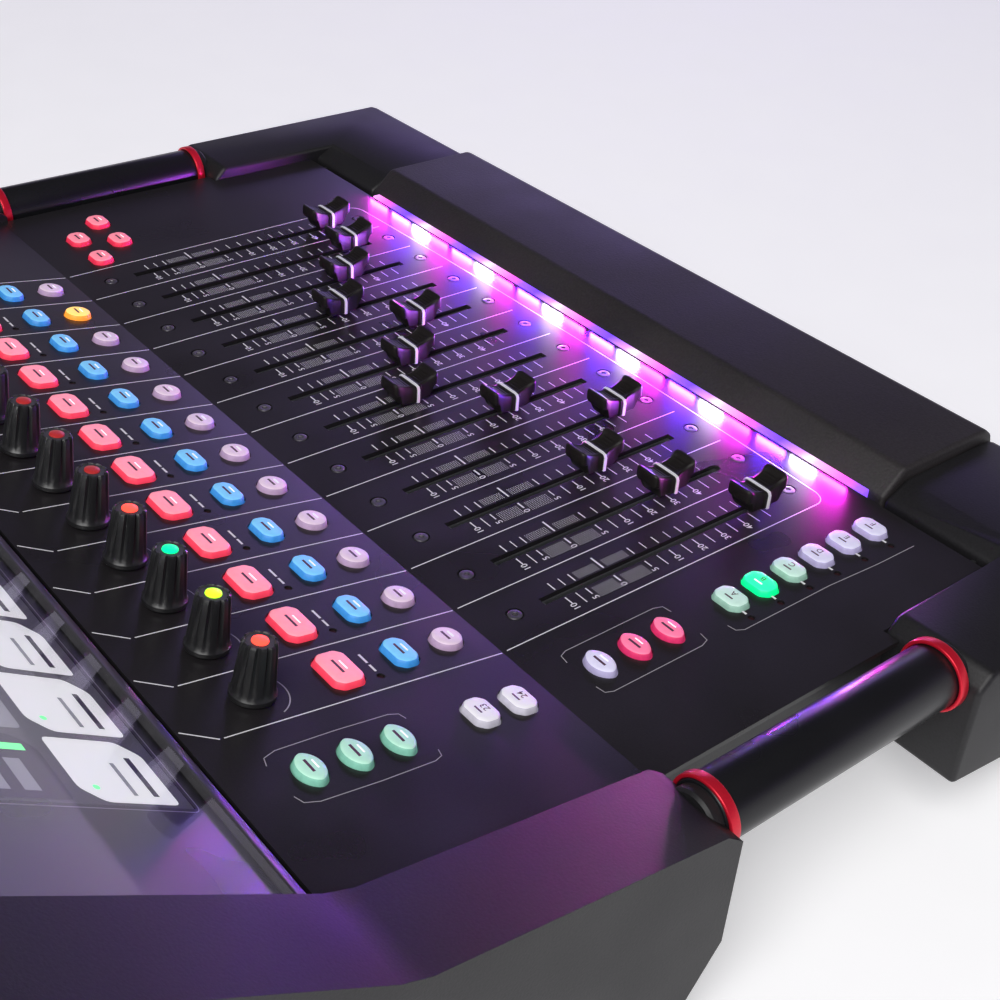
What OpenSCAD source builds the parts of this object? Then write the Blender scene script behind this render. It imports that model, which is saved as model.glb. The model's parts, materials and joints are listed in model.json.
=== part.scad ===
// Compact live-sound mixing console with one touch screen, twelve motor faders,
// twelve rotary knobs and carrying handles at both sides.
// Origin: middle of the footprint, on the surface that the feet stand on.
// +X to the operator's right, +Y away from the operator, +Z up. Millimetres.

/* [Overall] */
// Width over the side castings
console_w = 547; // [543:1:555]
// Depth from the armrest to the back edge
console_d = 627; // [624:1:632]
// Height of the feet
foot_h = 8; // [6:1:10]
// Width of the bent control panel
panel_w = 478; // [476:1:480]

/* [Deck angles] */
// Rise of the fader field towards the screen, degrees
fader_tilt = 4.5; // [4:0.5:5]
// Extra rise of the key field, degrees
key_rise = 9.84; // [9:0.01:11]
// Extra rise of the screen, degrees
screen_rise = 23.66; // [22:0.01:25]

/* [Channel strips] */
// Distance between neighbouring strips
strip_pitch = 27.6; // [27:0.1:28]
// Number of strips
strip_count = 12; // [10:1:12]
// Length of a fader slot
slot_len = 116.8; // [114:0.1:118]
// Width of a fader slot
slot_w = 4; // [3.6:0.1:4.4]
// Travel of a fader
fader_travel = 100; // [98:1:101]
// Length of a fader cap along its travel
cap_len = 22.5; // [21:0.5:24]
// Width of a fader cap
cap_w = 14; // [13:0.5:15]
// Height of a fader cap's raised ends above the panel
cap_h = 13.5; // [12:0.5:15]

/* [Keys and knobs] */
// How far the keys stand above the panel
key_proud = 2.4; // [2:0.1:2.8]
// How far a key can be pressed
key_travel = 1.2; // [1:0.1:1.4]
// Height of a knob's top above the panel
knob_h = 21; // [19:0.5:23]
// Diameter of a knob near the panel
knob_d = 15.2; // [14:0.1:16]
// Diameter of a knob's top
knob_top_d = 11.4; // [10:0.1:12]

/* [Handles] */
// Outer diameter of a carrying handle's tube
tube_d = 23.5; // [22:0.5:24]
// Wall of the tube
tube_wall = 2; // [1.5:0.5:3]

/* [Screen] */
// Width of the lit display
lcd_w = 382; // [376:1:384]
// Height of the lit display
lcd_h = 215; // [212:1:216]

/* [Hidden] */
$fn = 32;
fit = 0.05;
gap = 0.5;
sheet = 2;

// Places along the fader field, from the operator's end of the slots
armrest_v = -38.5;
panel_front_v = -34;
bend_v = 145.4;
key_len = 119;
screen_len = 250;
slot_y = 112 - console_d / 2;
slot_z = 72;
key_tilt = fader_tilt + key_rise;
screen_tilt = key_tilt + screen_rise;

// Lowest place of a fader and the resting place of each one
fader_low = 8.3;
fader_rest = [8.3, 31, 44, 8.3, 44, 75, 56, 32, 56, 34, 13, 8.3];

// Rows of keys along the key field, from the bend
solo_s = 14;
mix_s = 33.5;
lamp_s = 46.3;
mute_s = 57.7;
knob_s = 89.5;
lamp_dx = -7.5;
screw_v = [-11.5, 129];

// Key sizes
mute_size = [18, 12];
mix_size = [14.6, 9.4];
layer_size = [13.4, 10];
lens_size = [14, 9.6];
solo_d = 11.6;

// Side column: its distance from the outer strip, and its rows
side_dx = 37.3;
layer_v = [59.8, 44.5, 29, 13.7, -1.8, -17.2];
peak_dx = -11.3;
edit_v = [122.4, 106.5, 90.9];
mode_s = [60.7, 76.7, 92.7];
soft_s = [13, 28.7];
bank_at = [[38, 105.5], [62, 105.5], [24, 122.5], [48, 122.5]];

// Chassis
tray_w = 448;
tray_front_y = 17 - console_d / 2;
rear_y = 302;
tray_lip_z = 42;
cheek_x = panel_w / 2 + 0.6;
pad_w = 356;
bar_w = 342;
grip_end_v = 142;
tube_x = panel_w / 2 + 17;
tube_n = -2;
corner_in_x = 232.6;
corner_v = 27;
foot_at = [180, 258];

// Rear panel layout, x and z
socket_cols = 8;
socket_pitch = 32;
socket_x0 = -182;
socket_z = [96, 132];
socket_d = 24;
inlet_at = [166, 42];
pivot_r = 1.4;
fan_at = [152, 118];
port_at = [[-150, 42], [-118, 42], [-86, 42]];
port_size = [16, 14];
fan_d = 56;
vent_pitch = 7.4;
board_z = 22;
board_post = [[-182, 68], [102, 68], [-182, 262], [102, 262]];

function strip_x(k) = (k - (strip_count + 1) / 2) * strip_pitch;
function side_x() = strip_x(1) - side_dx;

// Side-view places [y, z] on the three deck planes
function on_fader(v, n) = [
    slot_y + v * cos(fader_tilt) - n * sin(fader_tilt),
    slot_z + v * sin(fader_tilt) + n * cos(fader_tilt)];
function on_key(s, n) = on_fader(bend_v, 0) + [
    s * cos(key_tilt) - n * sin(key_tilt),
    s * sin(key_tilt) + n * cos(key_tilt)];
function on_screen(u, n) = on_key(key_len, 0) + [
    u * cos(screen_tilt) - n * sin(screen_tilt),
    u * sin(screen_tilt) + n * cos(screen_tilt)];

module fader_field() {
    translate([0, slot_y, slot_z]) rotate([fader_tilt, 0, 0]) children();
}

module key_field() {
    fader_field() translate([0, bend_v, 0]) rotate([key_rise, 0, 0]) children();
}

module screen_field() {
    key_field() translate([0, key_len, 0]) rotate([screen_rise, 0, 0]) children();
}

// Extrudes a side-view outline [y, z] across x0 to x1
module across(x0, x1) {
    translate([x0, 0, 0]) rotate([90, 0, 90]) linear_extrude(x1 - x0) children();
}

// Box from corner a to corner b
module block(a, b) {
    translate(a) cube(b - a);
}

module both_sides() {
    children();
    mirror([1, 0, 0]) children();
}

module round_rect(size, r) {
    square([size[0] - 2 * r, size[1]], center = true);
    square([size[0], size[1] - 2 * r], center = true);
    for (x = [-1, 1], y = [-1, 1]) {
        translate([x * (size[0] / 2 - r), y * (size[1] / 2 - r)]) circle(r);
    }
}

// Pointed oval made of two arcs
module lens(size) {
    r = (pow(size[0] / 2, 2) + pow(size[1] / 2, 2)) / size[1];
    intersection() {
        translate([0, size[1] / 2 - r]) circle(r, $fn = 64);
        translate([0, r - size[1] / 2]) circle(r, $fn = 64);
    }
}

// A key: proud cap and the wider flange that keeps it under the panel
module key_solid(flange) {
    translate([0, 0, -3]) linear_extrude(3 + key_proud) children();
    translate([-flange[0] / 2, -flange[1] / 2, -4.2]) cube([flange[0], flange[1], 1.6]);
}

module rect_key(size) {
    key_solid([size[0] + 2, size[1] + 2]) round_rect(size, 2.6);
}

module lens_key() {
    key_solid([lens_size[0] + 2, lens_size[1] + 2]) lens(lens_size);
}

module key_hole(size) {
    w = size[0] + 2 * gap;
    h = size[1] + 2 * gap;
    translate([-w / 2, -h / 2, -5]) cube([w, h, 10]);
}

module hole(d) {
    translate([0, 0, -5]) cylinder(h = 10, d = d);
}

// ---- moving pieces ----

// Fader cap with a saddle across its top, on the flat stem of its carriage
module fader(k) {
    skirt = cap_len / 2 - 3;
    color("#26211f")
    fader_field() translate([strip_x(k), fader_rest[k - 1], 0]) {
        difference() {
            union() {
                block([-cap_w / 2 + 1, -skirt, 1.6], [cap_w / 2 - 1, skirt, 6]);
                block([-cap_w / 2, -cap_len / 2, 6], [cap_w / 2, cap_len / 2, cap_h]);
            }
            translate([0, 0, 26]) rotate([0, 90, 0])
                cylinder(h = cap_w + 2, r = 16.4, center = true, $fn = 64);
        }
        block([-0.6, -3, -9], [0.6, 3, 2]);
    }
}

// Tapered knob with its centre light, on a shaft in the encoder's bush
module knob(k) {
    color("#17171a")
    key_field() translate([strip_x(k), knob_s, 0]) {
        translate([0, 0, 0.8]) cylinder(h = knob_h - 0.8, d1 = knob_d, d2 = knob_top_d);
        translate([0, 0, knob_h - 1]) cylinder(h = 1.4, d = 5.4);
        translate([0, 0, -9]) cylinder(h = 11, r = 3);
    }
}

module mute_keys() {
    color("#ff96aa") key_field() for (k = [1:strip_count]) {
        translate([strip_x(k), mute_s, 0]) rect_key(mute_size);
    }
}

module mix_keys() {
    color("#6ebeeb") key_field() for (k = [1:strip_count]) {
        translate([strip_x(k), mix_s, 0]) rect_key(mix_size);
    }
}

module solo_keys() {
    color("#ebd7e6") key_field() for (k = [1:strip_count]) {
        translate([strip_x(k), solo_s, 0]) key_solid([13.6, 13.6]) circle(d = solo_d);
    }
}

module layer_keys() {
    color("#cfe6e0") fader_field() for (v = layer_v) {
        translate([side_x(), v, 0]) rect_key(layer_size);
    }
}

module edit_keys() {
    color("#f05a8c") fader_field() for (v = edit_v) {
        translate([side_x(), v, 0]) lens_key();
    }
}

module mode_keys() {
    color("#aadcc8") key_field() for (s = mode_s) {
        translate([side_x(), s, 0]) lens_key();
    }
}

module soft_keys() {
    color("#f0f0f0") key_field() for (s = soft_s) {
        translate([side_x(), s, 0]) rect_key(layer_size);
    }
}

module bank_keys() {
    color("#ff96a0") fader_field() for (at = bank_at) {
        translate([strip_x(strip_count) + at[0], at[1], 0]) rect_key(layer_size);
    }
}

// Rocker of the mains switch, pressed in at its lower half, on its pivot pin
module power_switch() {
    color("#1c1c1e")
    translate([inlet_at[0], rear_y - 1, inlet_at[1] + 27]) rotate([8, 0, 0]) {
        across(-6, 6)
            polygon([[-5, -3], [-5, 3], [3, 9], [4.4, 8], [3, 0], [4.4, -8], [3, -9]]);
        across(-8.4, 8.4) circle(pivot_r);
    }
}

// Hub and seven blades on the fan's own axle
module fan_rotor() {
    color("#2b2b2e")
    translate([fan_at[0], rear_y - 9, fan_at[1]]) rotate([-90, 0, 0]) {
        difference() {
            cylinder(h = 6, r = 12, center = true);
            cylinder(h = 8, r = 2 + fit, center = true);
        }
        for (a = [0:7 - 1]) {
            rotate([0, 0, a * 360 / 7]) translate([18.5, 0, 0]) rotate([35, 0, 0])
                cube([15, 9, 1.2], center = true);
        }
    }
}

// ---- chassis ----

function tray_outline(lift) = [
    [tray_front_y, foot_h], [tray_front_y, tray_lip_z + lift],
    [on_fader(armrest_v, 0)[0], tray_lip_z + lift], on_fader(armrest_v, lift - sheet - 0.3),
    on_fader(bend_v, lift - sheet - 0.4), on_key(key_len, lift - sheet - 0.6),
    on_screen(1, lift - 15.5), on_screen(screen_len, lift - 15.5),
    [rear_y - sheet - 0.2, on_screen(screen_len, lift - 15.5)[1]], [rear_y - sheet - 0.2, foot_h]];

module base_tray() {
    color("#2a2a2c") difference() {
        across(-tray_w / 2, tray_w / 2) polygon(tray_outline(0));
        across(sheet - tray_w / 2, tray_w / 2 - sheet)
            translate([sheet, sheet]) polygon(tray_outline(60));
        for (x = [-1, 1], y = [-1, 1]) {
            translate([x * foot_at[0], y * foot_at[1], foot_h]) cylinder(h = 6, r = 2.1, center = true);
        }
    }
    color("#2a2a2c") for (p = board_post) {
        translate([p[0], p[1], foot_h + sheet]) cylinder(h = board_z - foot_h - sheet, r = 3);
    }
}

module rear_panel() {
    top_z = on_screen(screen_len, -15.5)[1];
    color("#303033") difference() {
        block([-tray_w / 2, rear_y - sheet, foot_h + sheet], [tray_w / 2, rear_y, top_z]);
        for (c = [0:socket_cols - 1], z = socket_z) {
            translate([socket_x0 + c * socket_pitch, rear_y, z]) rotate([90, 0, 0])
                cylinder(h = 10, d = socket_d + 0.4, center = true);
        }
        for (i = [-3:3]) {
            vent_w = 2 * sqrt(pow(fan_d / 2, 2) - pow(i * vent_pitch, 2));
            translate([fan_at[0], rear_y, fan_at[1] + i * vent_pitch]) cube([vent_w, 10, 3.8], center = true);
        }
        translate([inlet_at[0] - 15.2, rear_y - 5, inlet_at[1] - 12.2]) cube([30.4, 10, 52.4]);
        for (p = port_at) {
            translate([p[0] - port_size[0] / 2 - 0.2, rear_y - 5, p[1] - port_size[1] / 2 - 0.2])
                cube([port_size[0] + 0.4, 10, port_size[1] + 0.4]);
        }
    }
}

// Flat roof behind the screen, with the lip that shades the rear connectors
module top_cover() {
    roof = on_screen(screen_len + 0.3, 0.3);
    color("#1f1f21") across(-panel_w / 2, panel_w / 2) difference() {
        polygon([roof, [console_d / 2 - 10, roof[1]], [console_d / 2, roof[1] - 10],
                 [console_d / 2, roof[1] - 34], [console_d / 2 - 3, roof[1] - 34],
                 [console_d / 2 - 3, roof[1] - 12],
                 [on_screen(screen_len + 0.3, -15)[0], roof[1] - 12]]);
        translate([roof[0] + 12, roof[1] - 9.5]) square([console_d / 2 - roof[0] - 20, 6.5]);
    }
}

// Surround of the glass
module screen_frame() {
    color("#1f1f21") screen_field() difference() {
        block([-panel_w / 2, 1.6, -12], [panel_w / 2, screen_len, 0]);
        block([-panel_w / 2 + 7.6, 5.6, -3], [panel_w / 2 - 7.6, screen_len - 11.6, 2]);
        block([-lcd_w / 2 - 6, 9, -14], [lcd_w / 2 + 6, lcd_h + 17, 2]);
    }
}

module display_glass() {
    color("#0a0b0d") screen_field()
        block([-panel_w / 2 + 8, 6, -2.9], [panel_w / 2 - 8, screen_len - 12, -0.4]);
}

module lcd_module() {
    color("#dfe6e6") screen_field()
        block([-lcd_w / 2, 12, -10.5], [lcd_w / 2, lcd_h + 12, -3]);
}

// One folded sheet: the fader field and the key field
module control_panel() {
    color("#4a464a") difference() {
        across(-panel_w / 2, panel_w / 2)
            polygon([on_fader(panel_front_v, -sheet), on_fader(panel_front_v, 0),
                     on_fader(bend_v, 0), on_key(key_len, 0), on_key(key_len, -sheet),
                     on_fader(bend_v + sheet * tan(key_rise / 2), -sheet)]);
        both_sides() fader_field()
            block([corner_in_x - 0.4, panel_front_v - 1, -5], [panel_w / 2 + 1, corner_v + 0.4, 5]);
        fader_field() {
            for (k = [1:strip_count]) {
                translate([strip_x(k) - slot_w / 2, 0, -5]) cube([slot_w, slot_len, 10]);
                for (v = screw_v) {
                    translate([strip_x(k), v, 0]) hole(3.4);
                    translate([strip_x(k), v, -0.9]) cylinder(h = 2, d = 6.8);
                }
            }
            for (v = layer_v) {
                translate([side_x(), v, 0]) key_hole(layer_size);
                translate([side_x() + peak_dx, v + 1.2, 0]) hole(2.8);
            }
            for (v = edit_v) {
                translate([side_x(), v, 0]) key_hole(lens_size);
            }
            for (at = bank_at) {
                translate([strip_x(strip_count) + at[0], at[1], 0]) key_hole(layer_size);
            }
        }
        key_field() {
            for (k = [1:strip_count]) {
                translate([strip_x(k), mute_s, 0]) key_hole(mute_size);
                translate([strip_x(k), mix_s, 0]) key_hole(mix_size);
                translate([strip_x(k), solo_s, 0]) hole(solo_d + 2 * gap);
                translate([strip_x(k) + lamp_dx, lamp_s, 0]) hole(2.8);
                translate([strip_x(k), knob_s, 0]) hole(7.4);
            }
            for (s = mode_s) {
                translate([side_x(), s, 0]) key_hole(lens_size);
            }
            for (s = soft_s) {
                translate([side_x(), s, 0]) key_hole(layer_size);
            }
        }
    }
}

// Armrest between the corner castings: front face, flat top and rear slope
module armrest() {
    front = -console_d / 2;
    color("#4b484a") across(-pad_w / 2, pad_w / 2)
        polygon([[front + 3, 14], [front, 18], on_fader(-112, -2) + [0.2, -2],
                 on_fader(-108, 7), on_fader(-103, 10.5), on_fader(-50, 10.5),
                 on_fader(armrest_v - 0.2, 0), on_fader(armrest_v - 0.2, -sheet),
                 [on_fader(armrest_v - 0.2, 0)[0] - 2, tray_lip_z + 0.2],
                 [tray_front_y - 0.2, tray_lip_z + 0.2], [tray_front_y - 0.2, 14]]);
}

module light_bar() {
    color("#e6b4ff") fader_field()
        block([-bar_w / 2, armrest_v, -4.5], [bar_w / 2, panel_front_v - 0.2, 0.8]);
}

// Circuit strip with its lamps, under the light bar
module led_strip() {
    color("#e8e8e0") fader_field() {
        block([-bar_w / 2, armrest_v, -7], [bar_w / 2, panel_front_v - 0.2, -5.6]);
        for (k = [1:strip_count]) {
            translate([strip_x(k) - 1.5, armrest_v + 1, -5.6]) cube([3, 2, 1]);
        }
    }
}

// Side view of a rear casting: lift is its height over the deck, roof its top behind the screen
module cheek_outline(edge, lift, roof) {
    polygon([on_fader(grip_end_v, -42), on_fader(grip_end_v, min(2, lift)), on_key(5, lift),
             on_key(key_len - 6, lift), on_screen(8, lift), on_screen(screen_len - 6, lift),
             [on_screen(screen_len, lift)[0], roof], [edge - 12, roof], [edge, roof - 12],
             [edge, 30], [edge - 16, 14], [on_fader(grip_end_v, -42)[0] + 20, 14]]);
}

// Side castings beside the key field and the screen
module rear_cheeks() {
    roof = on_screen(screen_len, 0.5)[1];
    color("#1c1c1e") both_sides() {
        across(cheek_x, console_w / 2) cheek_outline(console_d / 2, 7, roof + 1);
        across(tray_w / 2 + 0.1, cheek_x) cheek_outline(rear_y, -16, roof - 14);
    }
}

// Castings at the ends of the armrest that hold the handles' front ends
module front_corners() {
    front = -console_d / 2;
    color("#1c1c1e") both_sides() {
        across(corner_in_x, console_w / 2)
            polygon([[front + 3, 14], [front, 18], on_fader(-112, -2) + [0.2, -2],
                     on_fader(-108, 4), on_fader(-103, 6), on_fader(corner_v - 6, 6),
                     on_fader(corner_v, 0), on_fader(corner_v, -42), [front + 60, 14]]);
        across(pad_w / 2 + 0.4, corner_in_x)
            polygon([[front + 3, 14], [front, 18], on_fader(-112, -2) + [0.2, -2],
                     on_fader(-108, 4), on_fader(-103, 6), on_fader(-50, 6),
                     on_fader(armrest_v - 0.2, 0), on_fader(armrest_v - 0.2, -sheet),
                     [on_fader(armrest_v - 0.2, 0)[0] - 2, tray_lip_z + 0.2],
                     [tray_front_y - 0.2, tray_lip_z + 0.2], [tray_front_y - 0.2, 14]]);
    }
}

module along_tube(x) {
    fader_field() translate([x, 0, tube_n]) rotate([-90, 0, 0]) children();
}

module handle_tubes() {
    color("#141416") both_sides() along_tube(tube_x) translate([0, 0, corner_v + 0.2])
        difference() {
            cylinder(h = grip_end_v - corner_v - 0.4, d = tube_d);
            translate([0, 0, -1]) cylinder(h = grip_end_v, d = tube_d - 2 * tube_wall);
        }
}

module handle_rings() {
    color("#e01030") both_sides() for (v = [corner_v + 0.4, grip_end_v - 4.4]) {
        along_tube(tube_x) translate([0, 0, v]) difference() {
            cylinder(h = 4, d = tube_d + 3);
            translate([0, 0, -1]) cylinder(h = 6, d = tube_d + 2 * fit);
        }
    }
}

module feet() {
    color("#101010") for (x = [-1, 1], y = [-1, 1]) {
        translate([x * foot_at[0], y * foot_at[1], 0]) {
            cylinder(h = foot_h, r = 14);
            cylinder(h = foot_h + 3, r = 2);
        }
    }
}

// ---- inside ----

// Belt-driven fader tracks, each with its motor
module motor_faders() {
    color("#9a9ea3") fader_field() for (k = [1:strip_count]) translate([strip_x(k), 0, 0]) {
        difference() {
            block([-5.5, -16, -16], [5.5, 134, -2.2]);
            block([-1.6, fader_low - 6, -11], [1.6, fader_low + fader_travel + 6, 0]);
            for (v = screw_v) {
                translate([0, v, -8]) cylinder(h = 8, d = 3);
            }
        }
        translate([0, 118, -28.5]) cylinder(h = 12, r = 9);
    }
}

module encoders() {
    color("#7d8085") key_field() for (k = [1:strip_count]) {
        translate([strip_x(k), knob_s, 0]) difference() {
            union() {
                block([-6.5, -6.5, -13], [6.5, 6.5, -6]);
                translate([0, 0, -8]) cylinder(h = 7.6, d = 7);
            }
            translate([0, 0, -9.6]) cylinder(h = 12, r = 3 + fit);
        }
    }
}

// Circuit boards that carry the keys' contacts
module key_board() {
    top = -6.2 - key_travel;
    low = top - 1.6;
    color("#1f5a36") {
        key_field() block([-205, 4, low], [strip_x(strip_count) + 12, 70, top]);
        key_field() block([-205, 71, low], [-170, key_len - 4, top]);
        fader_field() block([-205, -28, low], [-175, 136, top]);
        fader_field() block([strip_x(strip_count) + 14, 92, low], [221, 134, top]);
    }
}

module main_board() {
    color("#1f5a36") {
        block([-190, 60, board_z], [110, 270, board_z + 1.6]);
        block([-60, 120, board_z + 1.6], [-20, 160, board_z + 9]);
        block([20, 110, board_z + 1.6], [60, 150, board_z + 9]);
        for (x = [-160:32:64]) {
            block([x, 220, board_z + 1.6], [x + 18, 245, board_z + 8]);
        }
    }
}

module power_supply() {
    color("#8f9296") block([125, 80, foot_h + sheet], [205, 250, 56]);
}

module fan_frame() {
    color("#202022") translate([fan_at[0], rear_y - 9, fan_at[1]]) rotate([-90, 0, 0]) {
        difference() {
            translate([-30, -30, -6.8]) cube([60, 60, 13.6]);
            cylinder(h = 20, r = 28.4, center = true);
        }
        translate([0, 0, -6.8]) cylinder(h = 2, r = 9);
        cylinder(h = 13, r = 2, center = true);
        for (a = [0:2]) {
            rotate([0, 0, a * 120 + 30]) translate([8, -1.5, -6.8]) cube([21, 3, 2]);
        }
    }
}

// Round three-pin sockets: a cup with its contact block at the bottom
module audio_sockets() {
    color("#3a3b3e") for (c = [0:socket_cols - 1], z = socket_z) {
        translate([socket_x0 + c * socket_pitch, rear_y, z]) rotate([90, 0, 0]) {
            difference() {
                union() {
                    translate([0, 0, -2.5]) cylinder(h = 22.5, d = socket_d);
                    translate([-13, -15.5, -2.5]) cube([26, 31, 2.4]);
                }
                translate([0, 0, -3]) cylinder(h = 18, d = 19);
            }
            for (a = [30, 150, 270]) {
                rotate([0, 0, a]) translate([5.6, 0, 4]) cylinder(h = 11.2, r = 1.2);
            }
        }
    }
}

module data_ports() {
    color("#b5b8bc") for (p = port_at) {
        difference() {
            block([p[0] - port_size[0] / 2, rear_y - 17, p[1] - port_size[1] / 2],
                  [p[0] + port_size[0] / 2, rear_y + 0.5, p[1] + port_size[1] / 2]);
            block([p[0] - 6.2, rear_y - 14, p[1] - 5], [p[0] + 6.2, rear_y + 2, p[1] + 5]);
        }
    }
}

// Mains inlet with three blades, and the well of the rocker switch above it
module mains_inlet() {
    x = inlet_at[0];
    z = inlet_at[1];
    color("#141415") {
        difference() {
            block([x - 15, rear_y - 20, z - 12], [x + 15, rear_y + 1.5, z + 40]);
            block([x - 12.5, rear_y - 16, z - 8.5], [x + 12.5, rear_y + 3, z + 8.5]);
            block([x - 6.6, rear_y - 7.2, z + 27 - 11], [x + 6.6, rear_y + 3, z + 27 + 11]);
            across(x - 8.6, x + 8.6) translate([rear_y - 1, z + 27]) circle(pivot_r + fit);
        }
        for (at = [[0, 3], [-7, -2], [7, -2]]) {
            block([x + at[0] - 1, rear_y - 16.5, z + at[1] - 2], [x + at[0] + 1, rear_y - 3, z + at[1] + 2]);
        }
    }
}

module panel_screws() {
    color("#8c8a8e") fader_field() for (k = [1:strip_count], v = screw_v) {
        translate([strip_x(k), v, 0]) difference() {
            union() {
                translate([0, 0, -0.9]) cylinder(h = 0.9, d = 5.4);
                translate([0, 0, -7.5]) cylinder(h = 7, d = 2.9);
            }
            translate([0, 0, -0.6]) cylinder(h = 2, d = 2.2, $fn = 6);
        }
    }
}

module state_lamps() {
    color("#3a1015") {
        key_field() for (k = [1:strip_count]) {
            translate([strip_x(k) + lamp_dx, lamp_s, -7.2]) cylinder(h = 6.6, d = 2.4);
        }
        fader_field() for (v = layer_v) {
            translate([side_x() + peak_dx, v + 1.2, -7.2]) cylinder(h = 6.6, d = 2.4);
        }
    }
}

for (k = [1:strip_count]) {
    fader(k);
    knob(k);
}
mute_keys();
mix_keys();
solo_keys();
layer_keys();
edit_keys();
mode_keys();
soft_keys();
bank_keys();
power_switch();
fan_rotor();
base_tray();
rear_panel();
top_cover();
screen_frame();
display_glass();
lcd_module();
control_panel();
armrest();
light_bar();
led_strip();
rear_cheeks();
front_corners();
handle_tubes();
handle_rings();
feet();
motor_faders();
encoders();
key_board();
main_board();
power_supply();
fan_frame();
audio_sockets();
data_ports();
mains_inlet();
panel_screws();
state_lamps();
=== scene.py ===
"""Looks of the mixing console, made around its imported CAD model.

Each flat zone of the deck has its own axes: x to the operator's right, v away from
the operator along the zone, and n straight out of it. Sizes below are millimetres in
those axes. The meshes are in metres in the frame's axes.
"""

import json
import math

import bmesh
import bpy
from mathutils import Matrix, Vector

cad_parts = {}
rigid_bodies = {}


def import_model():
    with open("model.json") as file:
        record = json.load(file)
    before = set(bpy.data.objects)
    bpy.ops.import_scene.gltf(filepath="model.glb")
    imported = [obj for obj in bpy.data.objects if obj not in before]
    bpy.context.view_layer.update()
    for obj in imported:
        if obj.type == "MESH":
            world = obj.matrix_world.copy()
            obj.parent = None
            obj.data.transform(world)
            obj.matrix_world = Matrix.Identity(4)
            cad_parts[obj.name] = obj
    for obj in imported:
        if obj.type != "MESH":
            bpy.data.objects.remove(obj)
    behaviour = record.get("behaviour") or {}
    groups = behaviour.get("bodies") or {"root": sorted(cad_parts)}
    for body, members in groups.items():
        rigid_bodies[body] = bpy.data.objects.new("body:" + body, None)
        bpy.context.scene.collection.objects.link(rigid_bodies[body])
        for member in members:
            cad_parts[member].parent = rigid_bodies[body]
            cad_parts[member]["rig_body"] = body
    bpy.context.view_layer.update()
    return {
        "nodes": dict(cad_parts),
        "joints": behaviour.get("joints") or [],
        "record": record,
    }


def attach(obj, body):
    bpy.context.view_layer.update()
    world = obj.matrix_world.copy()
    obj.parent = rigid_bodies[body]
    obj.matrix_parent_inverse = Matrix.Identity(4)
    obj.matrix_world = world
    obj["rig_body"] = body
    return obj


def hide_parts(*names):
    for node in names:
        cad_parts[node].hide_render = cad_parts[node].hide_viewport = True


MM = 0.001
INK = 0.04
LETTERS = "ABCDEF"

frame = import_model()
nodes = frame["nodes"]
joints = {joint["name"]: joint for joint in frame["joints"]}
slots = {part["node"]: part["material_slot"] for part in frame["record"]["subparts"]}


# ---- zones of the deck ----


class Zone:
    """A flat zone: its origin, its normal n and its direction v away from the operator."""

    def __init__(self, origin, normal):
        self.origin = Vector(origin)
        self.x = Vector((1, 0, 0))
        self.n = Vector(normal).normalized()
        self.v = self.n.cross(self.x)

    def place(self, point):
        x, v, n = point
        return self.origin + (self.x * x + self.v * v + self.n * n) * MM

    def local(self, point):
        d = (point - self.origin) / MM
        return d.dot(self.x), d.dot(self.v), d.dot(self.n)

    def shifted(self, v, n):
        return Zone(self.place((0, v, n)), self.n)

    def meeting(self, other):
        """The line where this zone's plane meets the other's, at x = 0."""
        rise = (other.origin - self.origin).dot(other.n) / self.v.dot(other.n)
        return self.origin + self.v * rise


def corners(points):
    """Lowest and highest corners of some points."""
    low = [min(point[i] for point in points) for i in range(3)]
    high = [max(point[i] for point in points) for i in range(3)]
    return low, high


def extent(node, zone):
    """Lowest and highest corners of a CAD node in a zone's axes."""
    return corners([zone.local(vertex.co) for vertex in nodes[node].data.vertices])


def loose_parts(node, zone):
    """Middle, size and top of each loose solid of a CAD node, from low v to high v."""
    mesh = bmesh.new()
    mesh.from_mesh(nodes[node].data)
    bmesh.ops.remove_doubles(mesh, verts=mesh.verts, dist=1e-6)
    seen = set()
    parts = []
    for start in mesh.verts:
        if start in seen:
            continue
        seen.add(start)
        stack = [start]
        points = []
        while stack:
            vertex = stack.pop()
            points.append(zone.local(vertex.co))
            for edge in vertex.link_edges:
                near = edge.other_vert(vertex)
                if near not in seen:
                    seen.add(near)
                    stack.append(near)
        low, high = corners(points)
        middle = [(a + b) / 2 for a, b in zip(low, high)]
        size = [b - a for a, b in zip(low, high)]
        parts.append((middle, size, high[2]))
    mesh.free()
    return sorted(parts, key=lambda part: (round(part[0][1]), round(part[0][0])))


SLOT_START = 16
GLASS_SUNK = 0.4
FACES_UP = 0.3


def deck_zones():
    """The fader field, the key field and the screen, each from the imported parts.

    The fader field starts where the slots do, a little way along the tracks. The screen's
    plane lies a little over the glass.
    """
    slide = Vector(joints["fader_1_slide"]["axis"])
    fader = Zone((0, 0, 0), Vector((1, 0, 0)).cross(slide))
    track_low, _ = extent("motor_faders", fader)
    _, screw_high = extent("panel_screws", fader)
    fader = fader.shifted(track_low[1] + SLOT_START, screw_high[2])
    turn = joints["knob_1_turn"]
    key = Zone((0, turn["pos_m"][1], turn["pos_m"][2]), turn["axis"])
    key = Zone(fader.meeting(key), key.n)
    glass = nodes["display_glass"].data
    front = max(glass.polygons, key=lambda face: face.area * (face.normal.z > FACES_UP))
    point = glass.vertices[front.vertices[0]].co
    screen = Zone(point, front.normal).shifted(0, GLASS_SUNK)
    screen = Zone((0, screen.origin.y, screen.origin.z), screen.n)
    _, panel_high = extent("control_panel", key)
    edge = key.place((0, panel_high[1], 0))
    along = (edge - screen.origin).dot(screen.v)
    return fader, key, Zone(screen.origin + screen.v * along, screen.n)


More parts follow.
